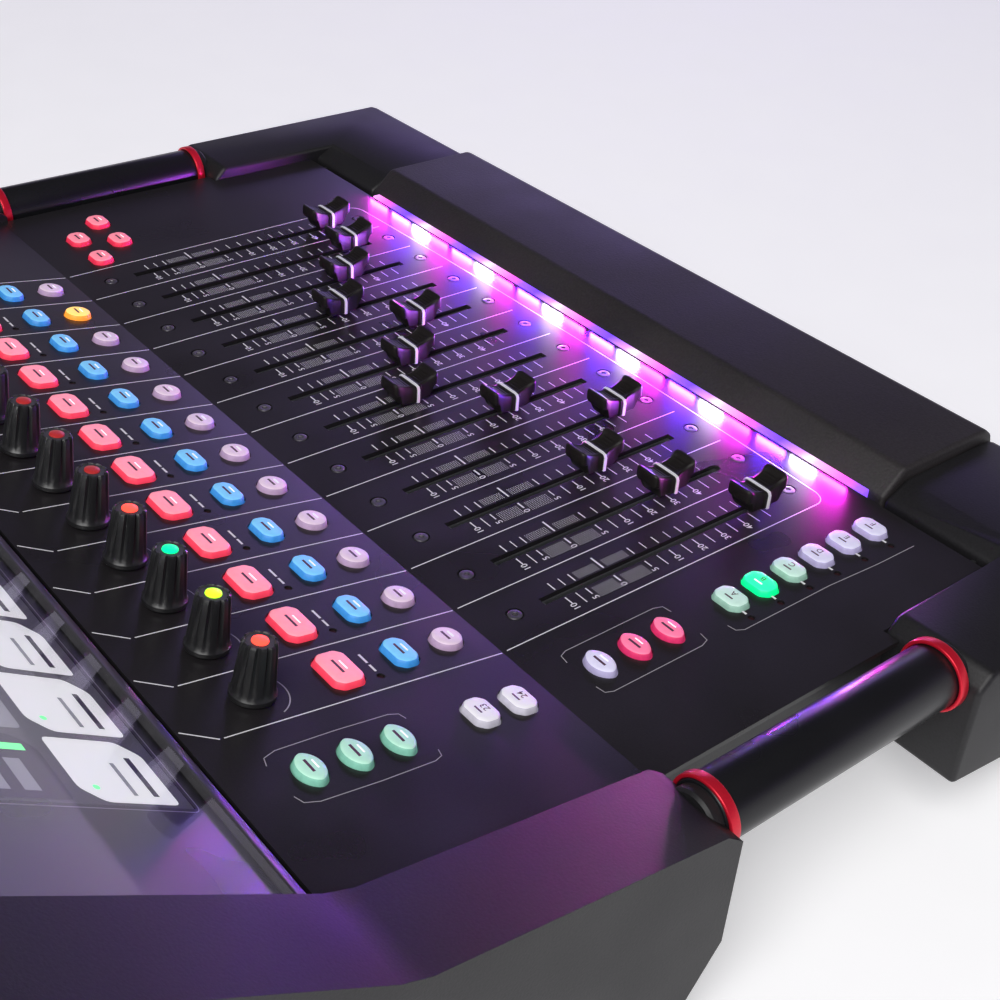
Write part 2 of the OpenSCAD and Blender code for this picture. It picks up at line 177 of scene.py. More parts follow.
FADER, KEY, SCREEN = deck_zones()
STRIPS = [joints[f"knob_{k}_turn"]["pos_m"][0] / MM for k in range(1, 13)]
PITCH = STRIPS[1] - STRIPS[0]
FIRST = STRIPS[0]
# Length of a fader slot, and the unit of the printed marks' places
SCALE = 116.8


# ---- materials ----


def noise(tree, scale, detail=4.0):
    place = tree.nodes.new("ShaderNodeTexCoord")
    grain = tree.nodes.new("ShaderNodeTexNoise")
    grain.inputs["Scale"].default_value = scale
    grain.inputs["Detail"].default_value = detail
    tree.links.new(place.outputs["Object"], grain.inputs["Vector"])
    return grain.outputs["Fac"]


def ramp(tree, source, stops):
    node = tree.nodes.new("ShaderNodeValToRGB")
    while len(node.color_ramp.elements) < len(stops):
        node.color_ramp.elements.new(0.5)
    for element, (at, colour) in zip(node.color_ramp.elements, stops):
        element.position = at
        element.color = (*colour, 1)
    tree.links.new(source, node.inputs["Fac"])
    return node.outputs["Color"]


def spread(tree, source, low, high):
    node = tree.nodes.new("ShaderNodeMapRange")
    node.inputs["From Min"].default_value = 0.3
    node.inputs["From Max"].default_value = 0.7
    node.inputs["To Min"].default_value = low
    node.inputs["To Max"].default_value = high
    tree.links.new(source, node.inputs["Value"])
    return node.outputs["Result"]


def shade(colour, factor):
    return tuple(min(1.0, part * factor) for part in colour)


def surface(name, colour, rough, metal=0.0, grain=1400, depth=0.02, vary=0.2, glow=0.0,
            specular=0.5):
    """A moulded, painted or lit surface with fine grain, depth in millimetres."""
    material = bpy.data.materials.new(name)
    material.use_nodes = True
    tree = material.node_tree
    shader = tree.nodes["Principled BSDF"]
    fine = noise(tree, grain)
    broad = noise(tree, 22, 2.0)
    mixed = tree.nodes.new("ShaderNodeMath")
    mixed.operation = "MULTIPLY_ADD"
    mixed.inputs[1].default_value = 0.6
    tree.links.new(fine, mixed.inputs[0])
    weaker = spread(tree, broad, 0.14, 0.26)
    tree.links.new(weaker, mixed.inputs[2])
    tint = ramp(tree, mixed.outputs[0], [(0.3, shade(colour, 1 - vary)),
                                         (0.7, shade(colour, 1 + vary))])
    tree.links.new(tint, shader.inputs["Base Color"])
    gloss = spread(tree, broad, rough - 0.04, rough + 0.05)
    tree.links.new(gloss, shader.inputs["Roughness"])
    bump = tree.nodes.new("ShaderNodeBump")
    bump.inputs["Strength"].default_value = 0.6
    bump.inputs["Distance"].default_value = depth * MM
    tree.links.new(fine, bump.inputs["Height"])
    tree.links.new(bump.outputs["Normal"], shader.inputs["Normal"])
    shader.inputs["Metallic"].default_value = metal
    shader.inputs["Specular IOR Level"].default_value = specular
    if glow:
        tree.links.new(tint, shader.inputs["Emission Color"])
        shader.inputs["Emission Strength"].default_value = glow
    return material


def light_pattern(tree, origin, period, stops):
    """Colour that repeats along x, for the light bar."""
    place = tree.nodes.new("ShaderNodeTexCoord")
    parts = tree.nodes.new("ShaderNodeSeparateXYZ")
    tree.links.new(place.outputs["Object"], parts.inputs["Vector"])
    phase = tree.nodes.new("ShaderNodeMath")
    phase.operation = "MULTIPLY_ADD"
    phase.inputs[1].default_value = 1 / (period * MM)
    phase.inputs[2].default_value = -origin / period
    tree.links.new(parts.outputs["X"], phase.inputs[0])
    turn = tree.nodes.new("ShaderNodeMath")
    turn.operation = "FRACT"
    tree.links.new(phase.outputs[0], turn.inputs[0])
    return ramp(tree, turn.outputs[0], stops)


# The light bar's colours repeat a little closer than every second strip
BAR_PERIOD = 2 * PITCH * 0.965
BAR_ORIGIN = FIRST + 10
BAR_STOPS = [(0.0, (1.0, 0.72, 0.95)), (0.1, (0.62, 0.25, 1.0)), (0.32, (0.16, 0.06, 0.9)),
             (0.52, (0.3, 0.1, 1.0)), (0.68, (0.95, 0.12, 0.85)), (0.8, (1.0, 0.25, 0.8)),
             (0.93, (0.8, 0.4, 1.0)), (1.0, (1.0, 0.72, 0.95))]


def diffuser():
    material = bpy.data.materials.new("light_bar_diffuser")
    material.use_nodes = True
    tree = material.node_tree
    shader = tree.nodes["Principled BSDF"]
    colour = light_pattern(tree, BAR_ORIGIN, BAR_PERIOD, BAR_STOPS)
    tree.links.new(colour, shader.inputs["Base Color"])
    tree.links.new(colour, shader.inputs["Emission Color"])
    shader.inputs["Emission Strength"].default_value = 1.1
    tree.links.new(spread(tree, noise(tree, 300), 0.3, 0.42), shader.inputs["Roughness"])
    return material


def clear_glass():
    material = bpy.data.materials.new("display_cover_glass")
    material.use_nodes = True
    tree = material.node_tree
    tree.nodes.remove(tree.nodes["Principled BSDF"])
    gloss = tree.nodes.new("ShaderNodeBsdfGlossy")
    tree.links.new(spread(tree, noise(tree, 40), 0.02, 0.06), gloss.inputs["Roughness"])
    clear = tree.nodes.new("ShaderNodeBsdfTransparent")
    facing = tree.nodes.new("ShaderNodeLayerWeight")
    facing.inputs["Blend"].default_value = 0.5
    rim = tree.nodes.new("ShaderNodeMath")
    rim.operation = "POWER"
    rim.inputs[1].default_value = 4.5
    tree.links.new(facing.outputs["Facing"], rim.inputs[0])
    mix = tree.nodes.new("ShaderNodeMixShader")
    tree.links.new(rim.outputs[0], mix.inputs["Fac"])
    tree.links.new(clear.outputs["BSDF"], mix.inputs[1])
    tree.links.new(gloss.outputs["BSDF"], mix.inputs[2])
    tree.links.new(mix.outputs["Shader"], tree.nodes["Material Output"].inputs["Surface"])
    return material


LOOKS = {
    "cap": surface("fader_cap_black", (0.009, 0.007, 0.0065), 0.42, depth=0.03, specular=0.4),
    "cap_line": surface("fader_cap_line", (0.86, 0.86, 0.88), 0.4, vary=0.04),
    "knob": surface("knob_black", (0.012, 0.012, 0.013), 0.36, grain=1800, depth=0.02),
    "knob_top": surface("knob_top_grey", (0.05, 0.05, 0.052), 0.5),
    "panel": surface("panel_paint", (0.017, 0.0155, 0.017), 0.3, grain=1900, depth=0.03, vary=0.35,
                     specular=0.42),
    "ink": surface("white_print", (0.86, 0.86, 0.88), 0.5, vary=0.05),
    "faint_ink": surface("grey_print", (0.4, 0.39, 0.41), 0.5, vary=0.05),
    "dark_ink": surface("dark_print", (0.1, 0.04, 0.07), 0.5, vary=0.08),
    "armrest": surface("armrest_grain", (0.024, 0.021, 0.022), 0.55, grain=950, depth=0.2,
                       vary=0.4, specular=0.4),
    "casting": surface("corner_casting", (0.012, 0.0115, 0.013), 0.5, grain=1100, depth=0.1,
                       vary=0.4, specular=0.4),
    "housing": surface("housing_black", (0.014, 0.014, 0.016), 0.42, grain=1300, depth=0.04),
    "bevel": surface("screen_surround", (0.05, 0.048, 0.055), 0.35, depth=0.02),
    "bezel": surface("glass_border", (0.006, 0.006, 0.007), 0.3, vary=0.1),
    "chassis": surface("chassis_powder_coat", (0.022, 0.022, 0.024), 0.5, grain=1000, depth=0.07),
    "tube": surface("tube_satin", (0.012, 0.012, 0.014), 0.3, metal=0.3, grain=1600, depth=0.01),
    "ring": surface("ring_red", (0.72, 0.012, 0.035), 0.32, metal=0.45, depth=0.01, vary=0.08),
    "rubber": surface("foot_rubber", (0.016, 0.016, 0.016), 0.75, grain=900, depth=0.06),
    "screw": surface("screw_plated", (0.2, 0.19, 0.21), 0.35, metal=0.8, depth=0.01),
    "metal": surface("plated_steel", (0.4, 0.41, 0.43), 0.35, metal=0.9, depth=0.01),
    "board": surface("solder_mask", (0.02, 0.1, 0.045), 0.4, vary=0.25),
    "socket": surface("socket_black", (0.03, 0.03, 0.033), 0.35, metal=0.5, depth=0.02),
    "inlet": surface("inlet_black", (0.015, 0.015, 0.016), 0.4),
    "lamp_off": surface("lamp_smoked", (0.03, 0.008, 0.01), 0.3),
    "strip_white": surface("led_strip_white", (0.7, 0.7, 0.66), 0.5),
    "display": surface("display_base", (0.05, 0.052, 0.055), 0.3, vary=0.1, glow=0.3),
    "tile_light": surface("tile_light", (0.68, 0.7, 0.68), 0.4, vary=0.05, glow=0.75),
    "tile_grey": surface("tile_grey", (0.2, 0.21, 0.22), 0.4, vary=0.05, glow=0.6),
    "tile_dark": surface("tile_dark", (0.012, 0.013, 0.016), 0.4, vary=0.1, glow=0.2),
    "tile_pink": surface("tile_pink", (0.9, 0.2, 0.42), 0.4, vary=0.05, glow=0.9),
    "tile_yellow": surface("tile_yellow", (0.85, 0.6, 0.08), 0.4, vary=0.05, glow=0.9),
    "tile_green": surface("tile_green", (0.12, 0.8, 0.25), 0.4, vary=0.05, glow=1.2),
    "white_spot": surface("key_bright_spot", (0.9, 0.9, 0.92), 0.4, vary=0.03, glow=0.7),
    "diffuser": diffuser(),
    "glass": clear_glass(),
}

# Silicone keys: colour of the top, colour of the sides, and how strongly they are lit. Each key is
# one silicone. Its brighter top and darker, deeper sides are painted light and shade of the
# backlight shining through it.
KEYS = {
    "pink": ((1.0, 0.3, 0.38), (0.9, 0.05, 0.1), 0.5),
    "blue": ((0.19, 0.55, 0.88), (0.04, 0.26, 0.66), 0.36),
    "lilac": ((0.76, 0.6, 0.74), (0.44, 0.3, 0.46), 0.24),
    "orange": ((1.0, 0.62, 0.16), (1.0, 0.3, 0.03), 0.8),
    "mint": ((0.56, 0.8, 0.7), (0.3, 0.52, 0.42), 0.26),
    "sea": ((0.46, 0.8, 0.64), (0.2, 0.5, 0.38), 0.26),
    "lavender": ((0.7, 0.68, 0.88), (0.42, 0.38, 0.6), 0.26),
    "green": ((0.02, 1.0, 0.36), (0.0, 0.8, 0.24), 0.85),
    "hot_pink": ((1.0, 0.2, 0.36), (0.7, 0.03, 0.14), 0.34),
    "white": ((0.82, 0.8, 0.86), (0.5, 0.48, 0.56), 0.24),
    "rose": ((1.0, 0.26, 0.34), (0.8, 0.03, 0.08), 0.42),
}
for key_name, (top, side, glow) in KEYS.items():
    LOOKS[key_name] = surface(f"silicone_{key_name}", top, 0.5, grain=500, vary=0.08, glow=glow)
    # The sides' copy is the same silicone painted darker: painted shade of the backlight falling
    # off down the walls
    LOOKS[key_name + "_side"] = surface(f"silicone_{key_name}_side", side, 0.5, grain=500,
                                        vary=0.15, glow=glow)

LIGHTS = {
    "red": ((1.0, 0.05, 0.03), 2.4),
    "lime": ((0.45, 1.0, 0.02), 1.6),
    "green": ((0.0, 0.85, 0.25), 1.6),
    "dim": ((0.35, 0.02, 0.02), 0.5),
}
for light_name, (colour, glow) in LIGHTS.items():
    LOOKS["light_" + light_name] = surface(f"knob_light_{light_name}", colour, 0.35, vary=0.1,
                                           glow=glow)


# ---- mesh making ----


class Shape:
    """Gathers faces in a zone's axes and makes them into one piece."""

    def __init__(self):
        self.points = []
        self.faces = []
        self.looks = []
        self.used = []

    def look(self, name):
        if name not in self.used:
            self.used.append(name)
        return self.used.index(name)

    def add(self, points, faces, look):
        base = len(self.points)
        self.points.extend(points)
        for face in faces:
            self.faces.append([base + i for i in face])
            self.looks.append(self.look(look))

    def loft(self, rings, looks, caps=(True, True)):
        """Joins rings of equal length. looks is one name, or one for each band."""
        base = len(self.points)
        count = len(rings[0])
        if isinstance(looks, str):
            looks = [looks] * (len(rings) - 1)
        for ring in rings:
            self.points.extend(ring)
        for band, look in enumerate(looks):
            low = base + band * count
            for i in range(count):
                j = (i + 1) % count
                self.faces.append([low + i, low + j, low + count + j, low + count + i])
                self.looks.append(self.look(look))
        if caps[0]:
            self.faces.append([base + i for i in reversed(range(count))])
            self.looks.append(self.look(looks[0]))
        if caps[1]:
            self.faces.append([base + (len(rings) - 1) * count + i for i in range(count)])
            self.looks.append(self.look(looks[-1]))

    def plate(self, outline, low, high, look):
        self.loft([[(x, v, low) for x, v in outline], [(x, v, high) for x, v in outline]], look)

    def bar(self, x0, v0, x1, v1, look="ink", low=-0.02, high=INK):
        self.plate([(x0, v0), (x1, v0), (x1, v1), (x0, v1)], low, high, look)

    def line(self, points, width=0.5, look="ink", low=-0.02, high=INK):
        """A printed line through points (x, v)."""
        sides = ([], [])
        for i, (x, v) in enumerate(points):
            before = points[max(i - 1, 0)]
            after = points[min(i + 1, len(points) - 1)]
            step = Vector((after[0] - before[0], after[1] - before[1])).normalized()
            sides[0].append((x - step.y * width / 2, v + step.x * width / 2))
            sides[1].append((x + step.y * width / 2, v - step.x * width / 2))
        for i in range(len(points) - 1):
            self.plate([sides[1][i], sides[1][i + 1], sides[0][i + 1], sides[0][i]],
                       low, high, look)

    def text(self, text, x, v, height, look="ink", low=-0.02, high=INK):
        """Letters or numbers centred on (x, v), read from the operator's side."""
        points, faces = glyphs(text)
        self.add([(x + px * height, v + pv * height, low + (high - low) * layer)
                  for px, pv, layer in points], faces, look)

    def piece(self, name, zone, body, slot, replaces=(), smooth=35):
        mesh = bpy.data.meshes.new(name)
        mesh.from_pydata([zone.place(point) for point in self.points], [], self.faces)
        for look in self.used:
            mesh.materials.append(LOOKS[look])
        mesh.polygons.foreach_set("material_index", self.looks)
        finish_mesh(mesh, smooth)
        return show(bpy.data.objects.new(name, mesh), body, replaces)


def finish_mesh(mesh, smooth):
    """Faces outwards, and shaded smooth except over sharp edges."""
    work = bmesh.new()
    work.from_mesh(mesh)
    bmesh.ops.remove_doubles(work, verts=work.verts, dist=1e-7)
    bmesh.ops.recalc_face_normals(work, faces=work.faces)
    work.to_mesh(mesh)
    work.free()
    mesh.polygons.foreach_set("use_smooth", [True] * len(mesh.polygons))
    mesh.set_sharp_from_angle(angle=math.radians(smooth))
    mesh.update()


def show(piece, body, replaces=()):
    bpy.context.scene.collection.objects.link(piece)
    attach(piece, body)
    if replaces:
        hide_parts(*replaces)
    return piece


GLYPHS = {}


def glyphs(text):
    """Points (x, v, layer) of unit-high text about its middle, and its faces."""
    if text in GLYPHS:
        return GLYPHS[text]
    curve = bpy.data.curves.new("lettering", "FONT")
    curve.body = text
    curve.align_x = "CENTER"
    curve.align_y = "CENTER"
    curve.size = 1.35
    curve.resolution_u = 3
    curve.extrude = 0.5
    curve.offset = 0.006
    holder = bpy.data.objects.new("lettering", curve)
    mesh = bpy.data.meshes.new_from_object(holder)
    points = [(p.co.x, p.co.y, p.co.z + 0.5) for p in mesh.vertices]
    faces = [list(face.vertices) for face in mesh.polygons]
    bpy.data.objects.remove(holder)
    bpy.data.meshes.remove(mesh)
    bpy.data.curves.remove(curve)
    GLYPHS[text] = (points, faces)
    return GLYPHS[text]


def arc(x, v, r, start, end, steps=12):
    """Points on a circle round (x, v), from start to end in degrees."""
    angles = [math.radians(start + (end - start) * i / steps) for i in range(steps + 1)]
    return [(x + r * math.cos(a), v + r * math.sin(a)) for a in angles]


def circle(r, steps=36):
    return arc(0, 0, r, 0, 360, steps)[:-1]


def rounded(corners, r, steps=4):
    """The outline through corners (x, v), with each corner rounded off."""
    points = []
    for i, corner in enumerate(corners):
        here = Vector(corner)
        before = Vector(corners[i - 1]) - here
        after = Vector(corners[(i + 1) % len(corners)]) - here
        reach = min(r, before.length * 0.48, after.length * 0.48)
        start = here + before.normalized() * reach
        end = here + after.normalized() * reach
        for k in range(steps + 1):
            t = k / steps
            points.append(tuple(start * (1 - t) ** 2 + here * 2 * t * (1 - t) + end * t * t))
    return points


def chamfered(w, h, cut, r=1.1):
    """A key's outline: a rectangle with its corners cut and softened."""
    x = w / 2
    v = h / 2
    return rounded([(x, cut - v), (x, v - cut), (x - cut, v), (cut - x, v),
                    (-x, v - cut), (-x, cut - v), (cut - x, -v), (x - cut, -v)], r)


def eye(w, h):
    """A pointed oval."""
    points = circle(1, 40)
    return [(x * w / 2, v * h / 2 * abs(v) ** 0.22) for x, v in points]


def inset(outline, by):
    """The outline drawn in by the same distance on all sides."""
    w = max(x for x, _ in outline)
    h = max(v for _, v in outline)
    return [(x * (w - by) / w, v * (h - by) / h) for x, v in outline]


# ---- keys ----

KEY_CUT = 2.6
HOLE_MARGIN = 0.8
CAPTION_SHARE = 0.36


def on_key(top):
    """Lowest and highest n of a mark on a key: sunk into it, and just proud of it."""
    return top - 0.3, top + 0.03


def add_key(shape, x, v, top, outline, look):
    """A domed silicone key with sloping walls and a wider skirt under the panel.

    Each step of its profile is (distance in from the outline, height n).
    """
    steps = [(-0.35, -4.2), (-0.35, -1.0), (0, -0.8), (0.05, 0.2), (0.3, top - 1.1),
             (0.6, top - 0.55), (1.1, top - 0.22), (1.9, top - 0.08), (3.2, top)]
    rings = []
    for by, n in steps:
        rings.append([(x + px, v + pv, n) for px, pv in inset(outline, by)])
    # Skirt and walls take the darker copy of the key's colour, which is painted shade; the domed
    # top takes the brighter copy, which is painted backlight
    shape.loft(rings, [look + "_side"] * 5 + [look] * 3)


def add_caption(shape, x, v, top, width):
    """Bars that stand for a key's caption, and its bright spot."""
    shape.bar(x - width / 2, v + 0.2, x + width / 2, v + 1.15, "dark_ink", *on_key(top))
    shape.bar(x - width / 3, v - 1.7, x + width / 3, v - 1.2, "white_spot", *on_key(top))


def add_well(shape, x, v, outline, w, h):
    """The panel's edge round a key: fills its square hole up to an even gap."""
    inner = inset(outline, -0.4)
    outer = []
    for px, pv in inner:
        reach = min(w / 2 / max(abs(px), 1e-6), h / 2 / max(abs(pv), 1e-6))
        outer.append((px * reach, pv * reach))
    rings = []
    for line, n in ((inner, -1.9), (inner, -0.2), (inset(inner, -0.12), 0.015), (outer, 0.015),
                    (outer, -1.9), (inner, -1.9)):
        rings.append([(x + px, v + pv, n) for px, pv in line])
    shape.loft(rings, "panel", (False, False))


def key_row(node, zone, outline, look_of, caption=None):
    """One piece for a key group. look_of and caption take the key's number."""
    shape = Shape()
    wells = Shape()
    for i, (middle, size, top) in enumerate(loose_parts(node, zone)):
        x, v, _ = middle
        drawn = outline(size[0] - 2, size[1] - 2)
        add_key(shape, x, v, top, drawn, look_of(i))
        if node != "solo_keys":
            add_well(wells, x, v, drawn, size[0] + HOLE_MARGIN, size[1] + HOLE_MARGIN)
        if caption is None:
            add_caption(shape, x, v, top, size[0] * CAPTION_SHARE)
        else:
            mark = "white_spot" if look_of(i) == "green" else "dark_ink"
            shape.text(caption(i), x, v - 1.3, 2.6, "dark_ink", *on_key(top))
            shape.bar(x - 1.9, v + 1.2, x + 1.9, v + 1.9, mark, *on_key(top))
    shape.piece(node + "_silicone", zone, node, slots[node], [node])
    if wells.faces:
        wells.piece(node + "_wells", zone, "root", slots["control_panel"])


def strip_key(w, h):
    return chamfered(w, h, KEY_CUT)


def make_keys():
    key_row("mute_keys", KEY, strip_key, lambda i: "pink")
    key_row("mix_keys", KEY, strip_key, lambda i: "blue")
    key_row("solo_keys", KEY, lambda w, h: circle(w / 2),
            lambda i: "orange" if i == 10 else "lilac")
    key_row("layer_keys", FADER, strip_key,
            lambda i: ("lavender", "lavender", "lavender", "mint", "green", "mint")[i],
            lambda i: LETTERS[5 - i])
    key_row("edit_keys", FADER, eye, lambda i: "lavender" if i == 2 else "hot_pink")
    key_row("mode_keys", KEY, eye, lambda i: "sea")
    key_row("soft_keys", KEY, strip_key, lambda i: "white", lambda i: ("24", "23")[i])
    key_row("bank_keys", FADER, strip_key, lambda i: "rose")


# ---- faders and knobs ----

# A cap's saddle is an arc round a point above it, and its ends round off over the nose
SADDLE_MIDDLE = 26
SADDLE_RADIUS = 16.4
SADDLE_REACH = 12
NOSE = 1.6
# The ribs across a cap: where they start and end from its middle, and their pitch
RIB_START = 1.6
RIB_END = 8.8
RIB_PITCH = 1.45
CAP_BANDS = 45
KNOB_SIDES = 80
KNOB_FLUTES = 10
SHAFT_RADIUS = 3


def cap_section(v, half, top):
    """One cross-section of a fader cap, as (x, n) points."""
    reach = min(abs(v), SADDLE_REACH)
    saddle = min(top, SADDLE_MIDDLE - math.sqrt(SADDLE_RADIUS ** 2 - reach ** 2))
    nose = max(0.0, abs(v) - (half - NOSE)) / NOSE
    lift = min(1.0, max(0.0, (abs(v) - 6.6) / 2.6))
    low = 1.6 + 5.2 * lift * lift * (3 - 2 * lift) + 0.9 * nose * nose
    high = saddle - 0.9 * nose * nose
    w = 6.0 + 0.55 * math.exp(-(v / 2.2) ** 2) - 0.5 * (1 - lift) * (abs(v) > 2) - 1.3 * nose * nose
    dish = 0.0
    if RIB_START < abs(v) < RIB_END:
        rib = math.cos(2 * math.pi * (abs(v) - RIB_START) / RIB_PITCH)
        dish = -0.5 + 0.34 * max(0.0, rib)
    section = [(-w + 1, low), (-w, low + 1), (-w, high - 1.3), (-w + 0.4, high - 0.4)]
    for i in range(9):
        x = (w - 1.2) * (i / 4 - 1)
        section.append((x, high + dish * (abs(x) < w - 2.2)))
    section += [(w - 0.4, high - 0.4), (w, high - 1.3), (w, low + 1), (w - 1, low)]
    return section


def make_fader(k):
    """A fader cap with the white line over its middle, on its stem."""
    node = f"fader_{k}"
    low, high = extent(node, FADER)
    x = (low[0] + high[0]) / 2
    v = (low[1] + high[1]) / 2
    half = (high[1] - low[1]) / 2
    shape = Shape()
    rings = []
    for i in range(CAP_BANDS + 1):
        along = half * (2 * i / CAP_BANDS - 1)
        rings.append([(x + px, v + along, n) for px, n in cap_section(along, half, high[2])])
    shape.loft(rings, "cap")
    side = (high[0] - low[0]) / 2
    path = [(-side, 2.2), (-side, 8.2), (-side + 0.7, 9.6), (-4.5, 9.95), (0, 9.95),
            (4.5, 9.95), (side - 0.7, 9.6), (side, 8.2), (side, 6.4)]
    line = []
    for px, n in path:
        inner = (px * 0.86, n - (0.8 if abs(px) < side else 0.0))
        line.append([(x + px, v - 0.62, n), (x + px, v + 0.62, n),
                     (x + inner[0], v + 0.62, inner[1]), (x + inner[0], v - 0.62, inner[1])])
    shape.loft(line, "cap_line")
    stem = [(-0.6, -3), (0.6, -3), (0.6, 3), (-0.6, 3)]
    shape.plate([(x + a, v + b) for a, b in stem], low[2], 2.4, "metal")
    shape.piece(f"fader_cap_{k}", FADER, node, slots[node], [node])


def make_knob(k, light):
    """A fluted knob. Each level is (height n, radius, depth of the flutes)."""
    node = f"knob_{k}"
    low, high = extent(node, KEY)
    x = STRIPS[k - 1]
    v = (low[1] + high[1]) / 2
    base = (high[0] - low[0]) / 2
    top = high[2] - 0.4
    levels = [(0.8, base - 0.3, 0), (1.3, base, 0), (2.6, base - 0.05, 0), (3.3, base - 0.5, 0.1),
              (5, base - 0.75, 0.35), (8, base - 0.95, 0.55), (12, base - 1.3, 0.7),
              (16, base - 1.6, 0.8), (top - 1.2, base - 1.95, 0.95), (top - 0.4, base - 2.15, 1.0),
              (top, base - 2.6, 0.9), (top, 4.7, 0.2), (top - 0.35, 4.4, 0), (top - 0.35, 2.7, 0),
              (top + 0.1, 2.6, 0), (top + 0.35, 1.9, 0), (top + 0.4, 0.8, 0)]
    rings = [[(x + px, v + pv, low[2]) for px, pv in circle(SHAFT_RADIUS, KNOB_SIDES)],
             [(x + px, v + pv, 0.8) for px, pv in circle(SHAFT_RADIUS, KNOB_SIDES)]]
    for n, r, flute in levels:
        ring = []
        for i in range(KNOB_SIDES):
            a = 2 * math.pi * i / KNOB_SIDES
            reach = r - flute * max(0.0, math.cos(KNOB_FLUTES * a)) ** 0.8
            ring.append((x + reach * math.cos(a), v + reach * math.sin(a), n))
        rings.append(ring)
    shape = Shape()
    shape.loft(rings, ["metal"] + ["knob"] * 11 + ["knob_top"] * 3 + ["light_" + light] * 3)
    shape.piece(f"knob_fluted_{k}", KEY, node, slots[node], [node], 28)


def make_faders_and_knobs():
    lights = {1: "red", 2: "lime", 3: "green", 4: "red"}
    for k in range(1, 13):
        make_fader(k)
        make_knob(k, lights.get(k, "dim"))


# ---- print on the panel ----

STRIP_LINE = 0.42
BRACKET_LINE = 0.3
FRAME_CORNER = 6
FRAME_BOW = 3.4
BRACKET_REACH = 12.3
SLOT_LAMPS_END = 80

# Marks of the fader scale: share of the slot's length, and the number beside it
NUMBERED = [(0.927, "10"), (0.845, "5"), (0.728, "0"), (0.596, "5"), (0.49, "10"),
            (0.386, "20"), (0.28, "30"), (0.175, "40")]
PLAIN = [0.885, 0.543, 0.437, 0.333, 0.228, 0.124, 0.071]


def add_hatch(shape, x0, x1, v0, v1, pitch=0.86, dot=0.16):
    """A field of small square dots."""
    for i in range(int((v1 - v0) / pitch) + 1):
        for j in range(int((x1 - x0) / pitch) + 1):
            x = x0 + j * pitch
            v = v0 + i * pitch
            shape.bar(x - dot, v - dot, x + dot, v + dot)


def add_fader_scale(shape, x):
    for at, number in NUMBERED:
        v = at * SCALE
        thick = 0.36 if number == "0" else 0.25
        shape.bar(x - 6.6, v - thick, x - 2.7, v + thick)
        shape.bar(x + 2.7, v - thick, x + (9.9 if number == "0" else 7.1), v + thick)
        shape.text(number, x - 8.6, v, 2.9)
    for at in PLAIN:
        v = at * SCALE
        shape.bar(x - 9.0, v - 0.2, x - 2.7, v + 0.2)
        shape.bar(x + 2.7, v - 0.2, x + 7.1, v + 0.2)
    for low, high in ((0.745, 0.83), (0.62, 0.712)):
        add_hatch(shape, x - 9.2, x - 3.2, low * SCALE, high * SCALE)
        add_hatch(shape, x + 3.2, x + 7.2, low * SCALE, high * SCALE)


def print_fader_field():
    shape = Shape()
    for x in STRIPS:
        add_fader_scale(shape, x)
    rear = 1.229 * SCALE
    for k in range(1, 12):
        x = FIRST + (k - 0.5) * PITCH
        shape.line([(x, -0.13 * SCALE), (x, rear)], STRIP_LINE)
    left = FIRST - 0.117 * SCALE
    right = -left
    front = -0.165 * SCALE
    r = FRAME_CORNER
    bow = []
    for i in range(31):
        x = left + r + (right - left - 2 * r) * i / 30
        bow.append((x, front - FRAME_BOW * (1 - (x / right) ** 2)))
    shape.line([(left, rear), (left, front + r)] + arc(left + r, front + r, r, 180, 270, 6)[1:-1]
               + bow + arc(right - r, front + r, r, 270, 360, 6)[1:-1]
               + [(right, front + r), (right, rear)], STRIP_LINE)
    side = loose_parts("layer_keys", FADER)[0][0][0]
    bracket = side - 0.125 * SCALE
    shape.line([(bracket + 5, 0.61 * SCALE), (bracket + 1.5, 0.605 * SCALE),
                (bracket, 0.58 * SCALE), (bracket, 0.2 * SCALE), (bracket - 1.5, -0.02 * SCALE),
                (bracket - 1.8, -0.2 * SCALE)], BRACKET_LINE, "faint_ink")
    for turn in (-1, 1):
        x = side + turn * BRACKET_REACH
        shape.line([(x - turn * 5, 1.12 * SCALE), (x - turn * 1.2, 1.115 * SCALE),
                    (x, 1.09 * SCALE), (x, 0.74 * SCALE), (x - turn * 1.2, 0.71 * SCALE),
                    (x - turn * 5, 0.705 * SCALE)], BRACKET_LINE, "faint_ink")
    for middle, _, _ in loose_parts("state_lamps", FADER):
        if middle[1] < SLOT_LAMPS_END:
            shape.bar(middle[0] + 2.4, middle[1] - 0.45, middle[0] + 4.4, middle[1] + 0.45)
    shape.piece("fader_scale_print", FADER, "root", slots["control_panel"])


def print_key_field():
    shape = Shape()
    _, panel_high = extent("control_panel", KEY)
    rear = panel_high[1]
    lamp_v = loose_parts("state_lamps", KEY)[-1][0][1]
    knob_v = KEY.local(Vector(joints["knob_1_turn"]["pos_m"]))[1]
    for k in range(13):
        x = FIRST + (k - 0.5) * PITCH
        shape.line([(x, 0.4), (x, 0.918 * SCALE)], STRIP_LINE)
        shape.line([(x, 0.93 * SCALE), (x + 0.065 * SCALE, rear - 1)], STRIP_LINE)
    for x in STRIPS:
        shape.bar(x - 4.7, lamp_v - 0.42, x - 1.0, lamp_v + 0.42)
        shape.bar(x + 0.2, lamp_v - 0.42, x + 5.2, lamp_v + 0.42)
        shape.line(arc(x, knob_v, 11.6, 205, 335, 20), 0.4, "faint_ink")
    side = loose_parts("mode_keys", KEY)[0][0][0]
    for turn in (-1, 1):
        x = side + turn * BRACKET_REACH
        shape.line([(x - turn * 4, 0.445 * SCALE), (x - turn * 1.2, 0.452 * SCALE),
                    (x, 0.48 * SCALE), (x + turn * 0.4, 0.65 * SCALE), (x, 0.83 * SCALE),
                    (x - turn * 1.6, 0.87 * SCALE), (x - turn * 5, 0.88 * SCALE)],
                   BRACKET_LINE, "faint_ink")
    shape.piece("key_field_print", KEY, "root", slots["control_panel"])


# ---- screen ----


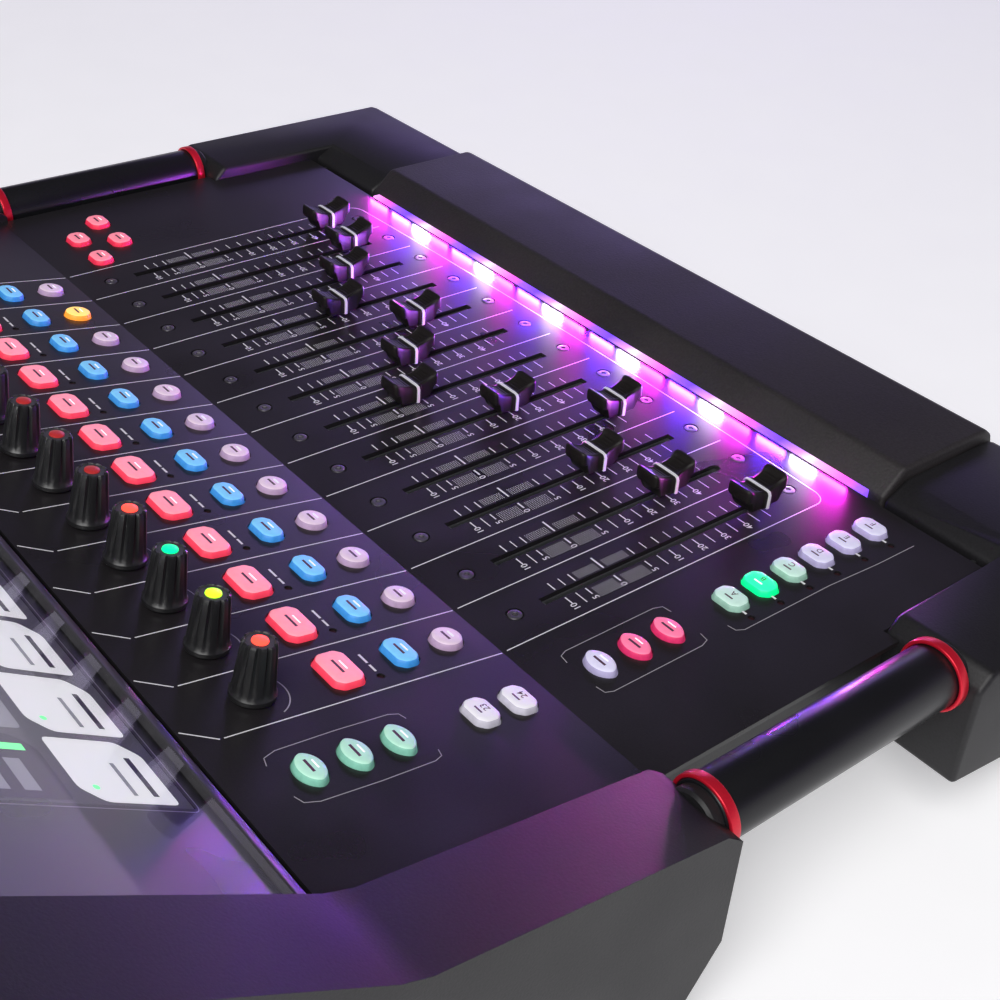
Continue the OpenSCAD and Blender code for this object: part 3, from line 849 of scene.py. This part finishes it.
def cut_tile(x0, u0, x1, u1, cut):
    """A tile with two opposite corners cut."""
    return rounded([(x0, u0), (x1 - cut, u0), (x1, u0 + cut), (x1, u1), (x0 + cut, u1),
                    (x0, u1 - cut)], 2.0, 3)


def make_screen():
    """The lit picture, the black border and the clear glass."""
    low, high = extent("lcd_module", SCREEN)
    glass_low, glass_high = extent("display_glass", SCREEN)
    top = high[2]
    back = top - 0.06
    face = top - 0.03
    mark = top - 0.02
    picture = Shape()
    outline = [(low[0], low[1]), (high[0], low[1]), (high[0], high[1]), (low[0], high[1])]
    picture.plate(outline, low[2], back, "display")
    step = (high[0] - low[0]) / 12
    for k in range(12):
        x = low[0] + k * step
        picture.plate(cut_tile(x + 1.5, low[1] + 4, x + step - 1.5, low[1] + 34, 6),
                      back, face, "tile_light")
        picture.plate(cut_tile(x + 1.5, low[1] + 38, x + step - 1.5, low[1] + 84, 6),
                      back, face, ("tile_dark", "tile_grey")[k % 3 == 1])
        picture.bar(x + 5, low[1] + 9, x + step - 9, low[1] + 11, "tile_dark", face, mark)
        picture.bar(x + 5, low[1] + 16, x + step - 12, low[1] + 17.5, "tile_grey",
                    face, mark)
        rise = 14 + 22 * abs(math.sin(1.7 * k + 0.6))
        picture.bar(x + step - 9, low[1] + 42, x + step - 6, low[1] + 42 + rise, "tile_green",
                    face, mark)
        dot = [(x + 8 + a, low[1] + 28 + b) for a, b in circle(1.1, 16)]
        picture.plate(dot, face, mark, "tile_green")
        for i in range(4):
            picture.bar(x + 5, low[1] + 46 + 9 * i, x + step - 13, low[1] + 51 + 9 * i,
                        ("tile_grey", "tile_dark")[k % 3 == 1], face, mark)
    for row, look in enumerate(("tile_pink", "tile_yellow")):
        wave = []
        for i in range(61):
            x = low[0] + 8 + (high[0] - low[0] - 16) * i / 60
            wave.append((x, low[1] + 130 + 16 * row + 22 * math.sin(i / 9 + row * 1.8)
                         * math.exp(-((i - 26 - 10 * row) / 18) ** 2)))
        picture.line(wave, 1.1, look, top - 0.05, top - 0.025)
    for i in range(7):
        u = low[1] + 98 + 17 * i
        picture.bar(low[0] + 8, u - 0.2, high[0] - 8, u + 0.2, "tile_grey", back, top - 0.045)
    picture.piece("display_picture", SCREEN, "root", slots["lcd_module"], ["lcd_module"])
    border = Shape()
    edge = 1.5
    for x0, u0, x1, u1 in ((glass_low[0], glass_low[1], glass_high[0], low[1]),
                           (glass_low[0], high[1], glass_high[0], glass_high[1]),
                           (glass_low[0], low[1], low[0], high[1]),
                           (high[0], low[1], glass_high[0], high[1])):
        border.bar(x0, u0, x1, u1, "bezel", glass_low[2] - 0.06, glass_low[2] - 0.01)
    line = rounded([(low[0] - edge, low[1] - edge), (high[0] + edge, low[1] - edge),
                    (high[0] + edge, high[1] + edge), (low[0] - edge, high[1] + edge)], 3)
    border.line(line + line[:1], 0.3, "faint_ink", glass_low[2] - 0.04, glass_low[2] - 0.005)
    border.piece("glass_border_print", SCREEN, "root", slots["display_glass"])
    nodes["display_glass"].data.materials.clear()
    nodes["display_glass"].data.materials.append(LOOKS["glass"])


# ---- pieces whose CAD shape is kept, with their edges softened ----

SHARP_ANGLE = 28
FLAT_ANGLE = 0.5

# Look, and width of the softened edge
SOFTENED = {
    "armrest": ("armrest", 5.0),
    "rear_cheeks": ("casting", 5.0),
    "front_corners": ("casting", 3.0),
    "screen_frame": ("bevel", 0.8),
    "top_cover": ("housing", 1.2),
    "base_tray": ("chassis", 0.8),
    "rear_panel": ("chassis", 0.3),
    "light_bar": ("diffuser", 0.5),
    "handle_tubes": ("tube", 0.8),
    "handle_rings": ("ring", 0.5),
    "feet": ("rubber", 1.2),
    "power_switch": ("inlet", 0.6),
    "audio_sockets": ("socket", 0.3),
    "data_ports": ("metal", 0.4),
    "mains_inlet": ("inlet", 0.5),
    "fan_frame": ("housing", 0.3),
    "fan_rotor": ("housing", 0.2),
    "panel_screws": ("screw", 0.25),
    "state_lamps": ("lamp_off", 0.2),
    "power_supply": ("metal", 1.0),
}
REPAINTED = {
    "control_panel": "panel",
    "motor_faders": "metal",
    "encoders": "metal",
    "key_board": "board",
    "main_board": "board",
    "led_strip": "strip_white",
}


def soften(node, look, width):
    """A copy of a CAD node with its sharp edges rounded off, in place of the node."""
    mesh = bmesh.new()
    mesh.from_mesh(nodes[node].data)
    bmesh.ops.remove_doubles(mesh, verts=mesh.verts, dist=2e-6)
    bmesh.ops.dissolve_limit(mesh, angle_limit=math.radians(FLAT_ANGLE), verts=mesh.verts,
                             edges=mesh.edges)
    sharp = [edge for edge in mesh.edges
             if edge.is_manifold and edge.is_convex
             and edge.calc_face_angle() > math.radians(SHARP_ANGLE)]
    bmesh.ops.bevel(mesh, geom=sharp, offset=width * MM, offset_type="OFFSET", segments=3,
                    profile=0.5, affect="EDGES", clamp_overlap=True)
    copy = bpy.data.meshes.new(node + "_soft")
    mesh.to_mesh(copy)
    mesh.free()
    copy.materials.clear()
    copy.materials.append(LOOKS[look])
    copy.polygons.foreach_set("material_index", [0] * len(copy.polygons))
    finish_mesh(copy, 30)
    body = nodes[node]["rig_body"]
    return show(bpy.data.objects.new(node + "_soft", copy), body, [node])


def make_grip_bosses():
    """The round bosses that close each handle tube's ends against the castings."""
    low, high = extent("handle_tubes", FADER)
    n = (low[2] + high[2]) / 2
    r = (high[2] - low[2]) / 2 - 1.2
    for turn, side in ((1, "right"), (-1, "left")):
        x = turn * (high[0] - (high[2] - low[2]) / 2)
        shape = Shape()
        for v, reach in ((high[1] - 1.0, 5.5), (low[1] + 1.0, -5.5)):
            rings = []
            for along, radius in ((0, r - 1.5), (0.15, r), (0.8, r), (1.0, r - 0.8)):
                ring = [(x + a, v + reach * along, n + b) for a, b in circle(radius, 40)]
                rings.append(ring)
            shape.loft(rings, "casting")
        shape.piece("grip_bosses_" + side, FADER, "root", slots["rear_cheeks"])


def make_kept_pieces():
    for node, (look, width) in SOFTENED.items():
        soften(node, look, width)
    for node, look in REPAINTED.items():
        nodes[node].data.materials.clear()
        nodes[node].data.materials.append(LOOKS[look])


# ---- stage ----

# The photo's viewpoint: place in metres, and the point of the fader field it looks at
CAMERA_PLACE = (-0.4556, 0.1757, 0.4293)
CAMERA_AIM = (-93.9, 89.4, 0)
CAMERA_LENS = 54.11
FLOOR_REACH = 14.0
# Colours of the light bar's glow: share of the period, colour and power
BAR_GLOW = [(0.0, (0.75, 0.6, 1.0), 0.03), (0.36, (0.14, 0.02, 1.0), 0.09),
            (0.74, (1.0, 0.02, 0.85), 0.05)]


def area_light(name, place, aim, size, power, colour, tall=None):
    light = bpy.data.lights.new(name, "AREA")
    light.energy = power
    light.color = colour
    light.size = size
    if tall:
        light.shape = "RECTANGLE"
        light.size_y = tall
    lamp = bpy.data.objects.new(name, light)
    lamp.location = place
    lamp.rotation_euler = (Vector(aim) - Vector(place)).to_track_quat("-Z", "Y").to_euler()
    bpy.context.scene.collection.objects.link(lamp)
    return lamp


def make_floor():
    mesh = bpy.data.meshes.new("floor")
    reach = FLOOR_REACH
    mesh.from_pydata([(-reach, -reach, 0), (reach, -reach, 0), (reach, reach, 0),
                      (-reach, reach, 0)], [], [(0, 1, 2, 3)])
    mesh.materials.append(surface("floor_pale", (0.86, 0.86, 0.87), 0.7, grain=30, vary=0.01,
                                  glow=0.42))
    floor = bpy.data.objects.new("floor", mesh)
    bpy.context.scene.collection.objects.link(floor)


def make_world():
    """Bright near the horizon and dim overhead, as in a studio with white walls."""
    world = bpy.data.worlds.new("studio")
    world.use_nodes = True
    tree = world.node_tree
    place = tree.nodes.new("ShaderNodeTexCoord")
    parts = tree.nodes.new("ShaderNodeSeparateXYZ")
    tree.links.new(place.outputs["Generated"], parts.inputs["Vector"])
    colour = ramp(tree, parts.outputs["Z"], [(0.0, (1.0, 1.0, 1.0)), (0.1, (0.5, 0.48, 0.55)),
                                             (0.26, (0.2, 0.15, 0.32)), (0.4, (0.03, 0.026, 0.035)),
                                             (1.0, (0.12, 0.12, 0.13))])
    tree.links.new(colour, tree.nodes["Background"].inputs["Color"])
    tree.nodes["Background"].inputs["Strength"].default_value = 1.0
    bpy.context.scene.world = world


def make_bar_lights():
    """The light bar's glow on the panel in front of it and on the armrest's slope."""
    low, high = extent("light_bar", FADER)
    v = high[1] + 0.9
    width = high[0] - low[0]
    count = int(width / BAR_PERIOD) + 1
    for i in range(-1, count + 1):
        for at, colour, power in BAR_GLOW:
            x = BAR_ORIGIN + (i + at) * BAR_PERIOD
            if low[0] + 4 < x < high[0] - 4:
                place = FADER.place((x, v, 2.4))
                aim = FADER.place((x, v + 30, 1.2))
                lamp = area_light(f"bar_glow_{i}_{at}", place, aim, 0.016, power, colour, 0.003)
                lamp.visible_camera = False


def make_stage():
    make_floor()
    make_world()
    area_light("soft_box", (-1.1, 1.3, 2.1), (0, 0, 0.1), 1.6, 62, (1.0, 0.99, 0.98))
    area_light("violet_box", (1.5, -1.75, 0.62), (0, 0, 0.12), 1.0, 5.5, (0.45, 0.3, 1.0), 0.3)
    make_bar_lights()
    camera = bpy.data.cameras.new("camera")
    camera.sensor_width = 36
    camera.lens = CAMERA_LENS
    holder = bpy.data.objects.new("camera", camera)
    place = Vector(CAMERA_PLACE)
    aim = FADER.place(CAMERA_AIM)
    holder.location = place
    holder.rotation_euler = (aim - place).to_track_quat("-Z", "Y").to_euler()
    bpy.context.scene.collection.objects.link(holder)
    bpy.context.scene.camera = holder
    bpy.context.scene.view_settings.view_transform = "Standard"


make_keys()
make_faders_and_knobs()
print_fader_field()
print_key_field()
make_screen()
make_kept_pieces()
make_grip_bosses()
make_stage()
